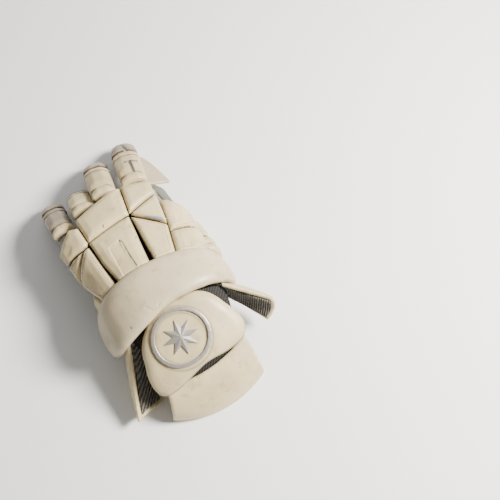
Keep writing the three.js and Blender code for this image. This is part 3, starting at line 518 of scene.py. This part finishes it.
class Nodes:
    """A short way to build a shader from its nodes."""

    # The mix node's colour sockets come after its number and vector sockets
    MIX_COLOUR_INPUTS = (6, 7)
    MIX_COLOUR_OUTPUT = 2

    def __init__(self, name):
        self.material = bpy.data.materials.new(name)
        self.material.use_nodes = True
        self.tree = self.material.node_tree
        self.shader = self.tree.nodes["Principled BSDF"]
        self.place = self.add("ShaderNodeTexCoord").outputs["Object"]

    def add(self, kind, **values):
        node = self.tree.nodes.new(kind)
        for key, value in values.items():
            setattr(node, key, value)
        return node

    def link(self, a, b):
        self.tree.links.new(a, b)

    def noise(self, scale, detail, rough=0.5):
        node = self.add("ShaderNodeTexNoise")
        self.link(self.place, node.inputs["Vector"])
        node.inputs["Scale"].default_value = scale
        node.inputs["Detail"].default_value = detail
        node.inputs["Roughness"].default_value = rough
        return node.outputs["Fac"]

    def cells(self, scale):
        node = self.add("ShaderNodeTexVoronoi", feature="F1")
        self.link(self.place, node.inputs["Vector"])
        node.inputs["Scale"].default_value = scale
        return node.outputs["Distance"]

    def bands(self, place, direction, scale, distortion):
        node = self.add("ShaderNodeTexWave", wave_type="BANDS", bands_direction=direction)
        self.link(place, node.inputs["Vector"])
        node.inputs["Scale"].default_value = scale
        node.inputs["Distortion"].default_value = distortion
        return node.outputs["Fac"]

    def spread(self, value, low, high, to_low=0.0, to_high=1.0):
        node = self.add("ShaderNodeMapRange")
        self.link(value, node.inputs["Value"])
        limits = {"From Min": low, "From Max": high, "To Min": to_low, "To Max": to_high}
        for key, number in limits.items():
            node.inputs[key].default_value = number
        return node.outputs["Result"]

    def mixed(self, share, a, b):
        node = self.add("ShaderNodeMix", data_type="RGBA")
        self.link(share, node.inputs["Factor"])
        for at, value in zip(self.MIX_COLOUR_INPUTS, (a, b)):
            if isinstance(value, tuple):
                node.inputs[at].default_value = (*value, 1)
            else:
                self.link(value, node.inputs[at])
        return node.outputs[self.MIX_COLOUR_OUTPUT]

    def combined(self, a, b, operation):
        node = self.add("ShaderNodeMath", operation=operation)
        self.link(a, node.inputs[0])
        self.link(b, node.inputs[1])
        return node.outputs["Value"]

    def attribute(self, name):
        return self.add("ShaderNodeAttribute", attribute_name=name).outputs["Fac"]

    def bump(self, height, distance, strength, under=None):
        node = self.add("ShaderNodeBump")
        self.link(height, node.inputs["Height"])
        node.inputs["Distance"].default_value = distance
        node.inputs["Strength"].default_value = strength
        if under is not None:
            self.link(under, node.inputs["Normal"])
        return node.outputs["Normal"]

    def surface(self, tint, normal):
        """Gives the shader its colour and relief."""
        self.link(tint, self.shader.inputs["Base Color"])
        self.link(normal, self.shader.inputs["Normal"])

    def dull(self, roughness, sheen):
        self.shader.inputs["Roughness"].default_value = roughness
        self.shader.inputs["Sheen Weight"].default_value = sheen


# Dark joint lines with painted shade in them, for seams and for the rims of the strap and plate
SEAM_SHADE_BROWN = (0.075, 0.05, 0.032)
# Grey of the dark dots, and painted shade in the notch, slot and slits
DOT_AND_SLOT_SHADE_GREY = (0.16, 0.135, 0.115)
# Painted black shade for the walls of the slits
SLIT_SHADE_BLACK = (0.012, 0.011, 0.011)
SPECK_SHARE = 0.8
EDGE_TONE = 1.12
HOLLOW_DIRT_AND_SHADE_TONE = 0.45
GLOSS_DIP = 0.07
GLOSS_RISE = 0.1
STALL_PITCH = 1.2 * MM
CLOTH_THREAD = 0.8 * MM
RIB_PITCH = 2.4 * MM
RIB_TURN = 35
HOLES_PER_RIB = 1.6
# About as many bands as a wave texture of scale 1 has in a metre, for ribs and for threads
RIB_WAVES = 3.18
THREAD_WAVES = 3


def leather(name, light, shade, stain, soil, gloss):
    """Worn smooth leather, pale along its edges; dirt and painted shade darken its hollows, and painted
    shade its seams, rims, slots and slits.
    """
    n = Nodes(name)
    clouds = n.spread(n.noise(16, detail=5, rough=0.6), low=0.38, high=0.64)
    blotches = n.spread(n.noise(60, detail=6, rough=0.65), low=0.56, high=0.78, to_high=soil)
    specks = n.spread(n.noise(420, detail=3, rough=0.6), low=0.7, high=0.8, to_high=soil * SPECK_SHARE)
    point = n.add("ShaderNodeNewGeometry").outputs["Pointiness"]
    # Over the clouded tone: stains and specks, lighter worn edges, dirt with painted shade in hollows,
    # painted shade in seams and rims, dark dots with painted shade in slots and slits, and painted black
    # shade on slit walls
    layers = [
        (blotches, stain),
        (specks, stain),
        (n.spread(point, low=0.52, high=0.6, to_high=0.35), toned(light, EDGE_TONE)),
        (n.spread(point, low=0.495, high=0.44, to_high=0.8), toned(stain, HOLLOW_DIRT_AND_SHADE_TONE)),
        (n.combined(n.attribute("painted_shade"), n.attribute("sewn"), "MAXIMUM"), SEAM_SHADE_BROWN),
        (n.attribute("dots_and_slot_shade"), DOT_AND_SLOT_SHADE_GREY),
        (n.attribute("slit_shade"), SLIT_SHADE_BLACK),
    ]
    tint = n.mixed(clouds, light, shade)
    for share, colour in layers:
        tint = n.mixed(share, tint, colour)
    dullest, shiniest = gloss + GLOSS_RISE, gloss - GLOSS_DIP
    polish = n.spread(n.noise(90, detail=4), low=0.3, high=0.7, to_low=shiniest, to_high=dullest)
    n.link(polish, n.shader.inputs["Roughness"])
    n.shader.inputs["Specular IOR Level"].default_value = 0.45
    grain = n.bump(n.cells(1300), distance=0.08 * MM, strength=0.35)
    n.surface(tint, n.bump(n.noise(180, detail=4), distance=0.4 * MM, strength=0.35, under=grain))
    return n.material


def spacer_mesh(name, dark, light, pitch):
    """Knitted mesh: small open cells with lighter ribs between them."""
    n = Nodes(name)
    rib = n.spread(n.cells(1 / pitch), low=0.25, high=0.5)
    dust = n.spread(n.noise(50, detail=4), low=0.45, high=0.75, to_high=0.5)
    tint = n.mixed(dust, n.mixed(rib, dark, light), toned(dark, 0.5))
    n.dull(roughness=0.9, sheen=0.05)
    n.surface(tint, n.bump(rib, distance=0.6 * MM, strength=0.8))
    return n.material


def ribbed(name, dark, light):
    """Ribbed lining: raised slanting cords with dark rows of holes between them."""
    n = Nodes(name)
    turned = n.add("ShaderNodeVectorRotate", rotation_type="Z_AXIS")
    n.link(n.place, turned.inputs["Vector"])
    turned.inputs["Angle"].default_value = math.radians(RIB_TURN)
    cords = n.bands(turned.outputs["Vector"], "X", scale=1 / RIB_PITCH / RIB_WAVES, distortion=0)
    holes = n.spread(n.cells(1 / RIB_PITCH * HOLES_PER_RIB), low=0.2, high=0.45)
    rib = n.combined(cords, holes, "MULTIPLY")
    n.dull(roughness=0.9, sheen=0.03)
    n.surface(n.mixed(rib, dark, light), n.bump(rib, distance=0.8 * MM, strength=0.8))
    return n.material


def cloth(name, colour, thread):
    """Plain cloth, woven of threads that cross."""
    n = Nodes(name)
    warp, weft = (n.bands(n.place, way, scale=1 / thread / THREAD_WAVES, distortion=0.6) for way in "XY")
    woven = n.combined(warp, weft, "MULTIPLY")
    tint = n.mixed(woven, toned(colour, 0.6), toned(colour, 1.7))
    n.dull(roughness=0.92, sheen=0.02)
    n.surface(tint, n.bump(woven, distance=0.3 * MM, strength=0.6))
    return n.material


def suede(name, colour, worn):
    """Palm leather with a fine nap."""
    n = Nodes(name)
    wear = n.spread(n.noise(45, detail=5, rough=0.6), low=0.35, high=0.7)
    nap = n.noise(900, detail=5, rough=0.7)
    deep = n.spread(nap, low=0.4, high=0.7, to_high=0.4)
    tint = n.mixed(deep, n.mixed(wear, colour, worn), toned(colour, 0.6))
    n.dull(roughness=0.85, sheen=0.05)
    n.surface(tint, n.bump(nap, distance=0.3 * MM, strength=0.6))
    return n.material


def satin_trim(name, colour):
    """Silver trim, half metallic."""
    n = Nodes(name)
    polish = n.spread(n.noise(300, detail=4), low=0.3, high=0.7, to_low=0.28, to_high=0.42)
    n.link(polish, n.shader.inputs["Roughness"])
    n.shader.inputs["Metallic"].default_value = 0.55
    tint = n.mixed(n.noise(160, detail=4), colour, toned(colour, 0.7))
    n.surface(tint, n.bump(n.noise(700, detail=3), distance=0.06 * MM, strength=0.4))
    return n.material


CREAM = leather(
    "cream_leather", light=(0.68, 0.555, 0.315), shade=(0.50, 0.41, 0.235), stain=(0.22, 0.155, 0.08),
    soil=0.65, gloss=0.38,
)
# Darker grey leather on the tips, hems and pinky mid pad: partly their own grey, partly painted shade
GREY_AND_SHADE = leather(
    "grey_and_shade_leather", light=(0.37, 0.305, 0.22), shade=(0.24, 0.20, 0.15), stain=(0.12, 0.09, 0.06),
    soil=0.7, gloss=0.38,
)
STRAP_LEATHER = leather(
    "strap_leather", light=(0.60, 0.50, 0.325), shade=(0.45, 0.375, 0.25), stain=(0.20, 0.145, 0.085),
    soil=0.65, gloss=0.36,
)
STALL_MESH = spacer_mesh(
    "stall_mesh", dark=(0.20, 0.185, 0.16), light=(0.34, 0.315, 0.27), pitch=STALL_PITCH,
)
FLAP_MESH = ribbed("flap_mesh", dark=(0.018, 0.016, 0.014), light=(0.20, 0.18, 0.15))
# Black cloth: a dark sheet of painted shade under the slits and behind the strap
SHADE_BLACK = cloth("black_cloth", colour=(0.009, 0.0085, 0.008), thread=CLOTH_THREAD)
# Near black cuff lining: a dark lining, made darker still as painted shade in the cuff's gaps
SHADE_DARK_LINER_MESH = ribbed("shade_dark_liner_mesh", dark=(0.003, 0.003, 0.003), light=(0.026, 0.024, 0.02))
PALM = suede("palm_suede", colour=(0.17, 0.172, 0.135), worn=(0.12, 0.118, 0.095))
SILVER = satin_trim("silver_trim", colour=(0.52, 0.48, 0.44))
LENS = satin_trim("lens_silver", colour=(0.44, 0.47, 0.53))
THREAD = leather(
    "thread", light=(0.74, 0.63, 0.46), shade=(0.64, 0.53, 0.38), stain=(0.4, 0.30, 0.19),
    soil=0.2, gloss=0.7,
)

# Pads of the hand
hand_pads = {}
for node in HAND_PADS:
    hand_pads[node] = dressed("leather_" + node, node, PAD_FORM, [CREAM])
grooves(hand_pads["middle_back_panel"], **PANEL_GROOVE)
grooves(hand_pads["middle_back_panel"], **PANEL_DOT)
grooves(hand_pads["knuckle_band"], **BAND_NOTCH)
for node in STITCHED_PADS:
    sewn_line(hand_pads[node], node)


def lens_path(trees):
    """The lens's path, laid over the higher of the pads around each of its points."""
    path = []
    for place in spaced(np.array(LENS_PATH) * MM, PATH_STEP, False):
        around = [Vector((x, y, LENS_DROP_START)) for x in LENS_AROUND for y in LENS_AROUND]
        starts = [Vector(place) + MM * offset for offset in around]
        hits = [tree.ray_cast(start, Vector(-UP), LENS_DROP)[0] for tree in trees for start in starts]
        tops = [hit.z for hit in hits if hit is not None]
        path.append((place[0], place[1], max(tops) if tops else place[2]))
    path = np.array(path)
    for _ in range(LENS_ROUNDS):
        path[1:-1, 2] = (path[:-2, 2] + path[1:-1, 2] + path[2:, 2]) / 3
    return path


def crescent(name, path, material):
    """A tapered crescent of trim along a path."""
    verts = []
    last = len(path) - 1
    for k, centre in enumerate(path):
        share = min(max(k / last, LENS_END_SHARE), 1 - LENS_END_SHARE)
        full = math.sin(math.pi * share ** LENS_SKEW) ** LENS_FULLNESS
        along = path[min(k + 1, last)] - path[max(k - 1, 0)]
        side = np.cross(along, UP)
        side /= np.linalg.norm(side)
        for i in range(LENS_SIDES):
            turn = 2 * math.pi * i / LENS_SIDES
            rise = UP * (math.sin(turn) * LENS_HEIGHT + LENS_LIFT)
            verts.append(centre + full * (side * math.cos(turn) * LENS_WIDTH + rise) * MM)
    added(name, verts, tube_faces(len(path), LENS_SIDES), material)


crescent("trim_index_lens", lens_path([tree_of(hand_pads[node]) for node in LENS_PADS]), LENS)

# Pads of the fingers and the thumb
finger_pads = {}
finger_nodes = [finger + "_" + pad for finger in FINGERS for pad in FINGER_PADS]
for node in finger_nodes + ["thumb_" + pad for pad in THUMB_PADS]:
    looks = [GREY_AND_SHADE if node in GREY_PADS else CREAM]
    finger_pads[node] = dressed(
        "leather_" + node, node, FINGER_FORM, looks,
    )


def front_band(finger):
    """A rolled hem across a finger's mid pad, ahead of a sewn groove darkened with painted shade."""
    piece = finger_pads[finger + "_mid_pad"]
    co = positions(piece.data)
    ahead = positions(finger_pads[finger + "_hem_roll"].data).mean(0) - co.mean(0)
    ahead /= np.linalg.norm(ahead)
    facing = normals(piece.data)
    top = facing[:, 2] > np.quantile(facing[:, 2], BAND_TOP_QUANTILE)
    behind = np.quantile((co @ ahead)[top], BAND_FRONT_QUANTILE) - co @ ahead
    roll = np.sin(math.pi * np.clip(behind / BAND_LENGTH, 0, 1))
    sewn = np.clip(1 - ((behind - BAND_LENGTH) / BAND_GROOVE) ** 2, 0, 1) ** 2
    set_positions(piece.data, co + facing * (roll * BAND_RISE - sewn * BAND_DEPTH)[:, None])
    sideways = np.linalg.norm(np.cross(facing, ahead), axis=1)
    # Painted shade darkens the sewn groove
    set_mark(piece, "sewn", np.clip(sewn * BAND_SHARPNESS, 0, 1) * ramp(sideways, low=0.5, high=0.8))


for finger in FINGERS:
    front_band(finger)
grooves(finger_pads["index_mid_pad"], **INDEX_SLOT)
grooves(finger_pads["index_tip_cap"], **CAP_SLIT)
grooves(finger_pads["index_hem_roll"], **HEM_SLIT)

# Stalls: mesh, with palm leather where they face down
for finger in FINGERS + ["thumb"]:
    stall = dressed("stall_" + finger, finger + "_stall", STALL_FORM, [STALL_MESH, PALM])
    for face in stall.data.polygons:
        face.material_index = 1 if face.normal.z < STALL_PALM_SLOPE else 0


# Painted shade: dark seams where pads meet, and black walls along the two slits
def finger_way(node, pad_points):
    """Direction along the finger at one of its pads."""
    finger = node.split("_")[0]
    row = [finger + "_" + pad for pad in (THUMB_PADS if finger == "thumb" else FINGER_PADS)]
    at = row.index(node)
    before, after = row[max(at - 1, 0)], row[min(at + 1, len(row) - 1)]
    way = pad_points[after].mean(0) - pad_points[before].mean(0)
    return way / np.linalg.norm(way)


def crowding(pad_points):
    """For each pad, how many cells around each of its vertices hold another pad."""
    every_point = np.vstack(list(pad_points.values()))
    low_cell = np.floor(every_point.min(0) / SEAM_CELL).astype(int) - CELL_MARGIN
    high_cell = np.ceil(every_point.max(0) / SEAM_CELL).astype(int) + CELL_MARGIN
    cells = {node: np.round(co / SEAM_CELL).astype(int) - low_cell for node, co in pad_points.items()}
    crowd = np.zeros(high_cell - low_cell, np.int32)
    for own_cells in cells.values():
        np.add.at(crowd, tuple(own_cells.T), 1)
    found = {}
    for node, own_cells in cells.items():
        own = np.zeros_like(crowd)
        np.add.at(own, tuple(own_cells.T), 1)
        others = crowd > own
        reach = HAND_SEAM_CELLS if node in hand_pads else FINGER_SEAM_CELLS
        found[node] = np.zeros(len(own_cells))
        for step in np.ndindex(*[2 * reach + 1] * 3):
            found[node] += others[tuple((own_cells + np.array(step) - reach).T)]
    return found


def from_slits(places):
    return np.min([distance_to_path(places, path, False) for path in slit_paths], axis=0)


slit_paths = [np.array(points) * MM for points in SLITS]
soft_pads = {**hand_pads, **finger_pads}
pad_points = {node: positions(piece.data) for node, piece in soft_pads.items()}
for node, near in crowding(pad_points).items():
    piece = soft_pads[node]
    facing = normals(piece.data)
    if node in hand_pads:
        across = 1 - ramp(facing[:, 2], low=0.1, high=0.6)
        wall = 1 - ramp(facing[:, 2], low=0.15, high=0.6)
        in_slit = 1 - ramp(from_slits(pad_points[node][:, :2]), SLIT_REACH * SLIT_CORE_SHARE, SLIT_REACH)
        # Painted shade: pad walls that face into a slit are painted black
        set_mark(piece, "slit_shade", in_slit * wall)
    else:
        across = ramp(np.abs(facing @ finger_way(node, pad_points)), low=0.45, high=0.85)
    # Dark seam where pads meet: the dark of the joint with painted shade between the pads
    set_mark(piece, "painted_shade", np.clip(near / SEAM_CROWD, 0, 1) * across)

# Shell of the hand: black cloth as painted shade at the slits and from the strap back, mesh elsewhere
back = dressed("lining_hand_back", "hand_back", SHELL_FORM, [SHADE_BLACK, STALL_MESH])
for face in back.data.polygons:
    away = from_slits(np.array(face.center)[None, :2])[0]
    face.material_index = 1 if away > SLIT_ROOM and face.center.y > SHELL_MESH_START else 0
dressed("suede_palm", "palm", SHELL_FORM, [PALM])

# Wrist strap, with creases, a dot and a rim darkened with painted shade
strap = dressed(
    "leather_wrist_strap", "wrist_strap", STRAP_FORM, [STRAP_LEATHER],
)
grooves(strap, **STRAP_CREASES)
grooves(strap, **STRAP_DOT)
# Painted shade on the strap's down-facing rim
set_mark(strap, "painted_shade", (1 - ramp(normals(strap.data)[:, 2], low=-0.5, high=0.15)) * STRAP_RIM_SHADE)

# Emblem ring and star, and the plate with painted shade along its rim and as a dark line on both sides
# of the ring
ring = dressed("trim_emblem_ring", "emblem_ring", RING_FORM, [SILVER])
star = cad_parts["emblem_star"]
star.data.materials.clear()
star.data.materials.append(SILVER)
plate = dressed(
    "leather_emblem_plate", "emblem_plate", PLATE_FORM, [CREAM],
)
rim = (1 - ramp(normals(plate.data)[:, 2], low=0.05, high=0.55)) * PLATE_RIM_SHADE
centre = positions(ring.data).mean(0)
ring_radii = np.linalg.norm(positions(ring.data) - centre, axis=1)
from_centre = np.linalg.norm(positions(plate.data) - centre, axis=1)
for radius in (ring_radii.min() + RING_LINE, ring_radii.max()):
    line = np.clip(RING_LINE_FADE - np.abs(from_centre - radius) / RING_LINE, 0, 1)
    rim = np.maximum(rim, RING_SHADE * line)
set_mark(plate, "painted_shade", rim)

# Cuff: guard, side flaps with their linings, and liner
dressed("leather_cuff_guard", "cuff_guard", GUARD_FORM, [CREAM])


def flap_lining(side):
    """A flap's mesh lining, with its root drawn out towards the strap."""
    node = side + "_flap_lining"
    lining = soft_form("mesh_" + node, node, LINING_FORM)
    co = positions(lining.data)
    way = np.linalg.svd((co - co.mean(0))[::LINING_SAMPLE], full_matrices=False)[2][0]
    way *= np.sign(way @ (positions(strap.data).mean(0) - co.mean(0)))
    along = co @ way
    share = ramp(along, np.quantile(along, LINING_ROOT_QUANTILE), along.max())
    set_positions(lining.data, co + way * (share * LINING_REACH)[:, None])
    settle(lining, node, [FLAP_MESH])


for side in ("left", "right"):
    node = side + "_flap"
    dressed("leather_" + node, node, FLAP_FORM, [CREAM])
    flap_lining(side)
dressed("lining_cuff", "cuff_liner", LINER_FORM, [SHADE_DARK_LINER_MESH])

# Thin leather wing at the index finger's outer side
dressed(
    "leather_index_side_wing", "index_side_wing", WING_FORM, [STRAP_LEATHER],
)


# Floor, light and camera
def lay_floor():
    half = FLOOR_SIZE / 2
    corners = [(-half, -half, 0), (half, -half, 0), (half, half, 0), (-half, half, 0)]
    mesh = bpy.data.meshes.new("floor")
    mesh.from_pydata(corners, [], [(0, 1, 2, 3)])
    look = bpy.data.materials.new("pale_floor")
    look.use_nodes = True
    shader = look.node_tree.nodes["Principled BSDF"]
    shader.inputs["Base Color"].default_value = (*FLOOR_GREY, 1)
    shader.inputs["Roughness"].default_value = FLOOR_ROUGHNESS
    mesh.materials.append(look)
    linked("floor", mesh)


def area_light(name, place, aim, size, power, colour):
    light = bpy.data.lights.new(name, "AREA")
    light.size = size
    light.energy = power
    light.color = colour
    lamp = linked(name, light)
    lamp.location = place
    lamp.rotation_euler = (Vector(aim) - Vector(place)).to_track_quat("-Z", "Y").to_euler()


def light_sky():
    world = bpy.data.worlds.new("studio")
    bpy.context.scene.world = world
    world.use_nodes = True
    sky = world.node_tree.nodes["Background"]
    sky.inputs["Color"].default_value = (*SKY_TINT, 1)
    sky.inputs["Strength"].default_value = SKY_STRENGTH


def set_camera():
    """Looks so that the anchor point falls on its pixel of the photograph."""
    elevation, yaw = math.radians(CAMERA_ELEVATION), math.radians(CAMERA_YAW)
    level = math.cos(elevation)
    ahead = Vector((math.sin(yaw) * level, math.cos(yaw) * level, -math.sin(elevation)))
    right = Vector((math.cos(yaw), -math.sin(yaw), 0))
    above = right.cross(ahead)
    lens = bpy.data.cameras.new("camera")
    lens.sensor_width = SENSOR_WIDTH
    lens.lens = CAMERA_FOCAL_PX / FRAME_PX * SENSOR_WIDTH
    across = (ANCHOR_PX[0] - FRAME_PX / 2) / CAMERA_FOCAL_PX * CAMERA_DISTANCE
    up = (FRAME_PX / 2 - ANCHOR_PX[1]) / CAMERA_FOCAL_PX * CAMERA_DISTANCE
    camera = linked("camera", lens)
    camera.location = CAMERA_ANCHOR - ahead * CAMERA_DISTANCE - right * across - above * up
    camera.rotation_mode = "QUATERNION"
    camera.rotation_quaternion = ahead.to_track_quat("-Z", "Y")
    bpy.context.scene.camera = camera


lay_floor()
area_light("key", **KEY_LIGHT, colour=KEY_TINT)
area_light("fill", **FILL_LIGHT, colour=FILL_TINT)
light_sky()
set_camera()
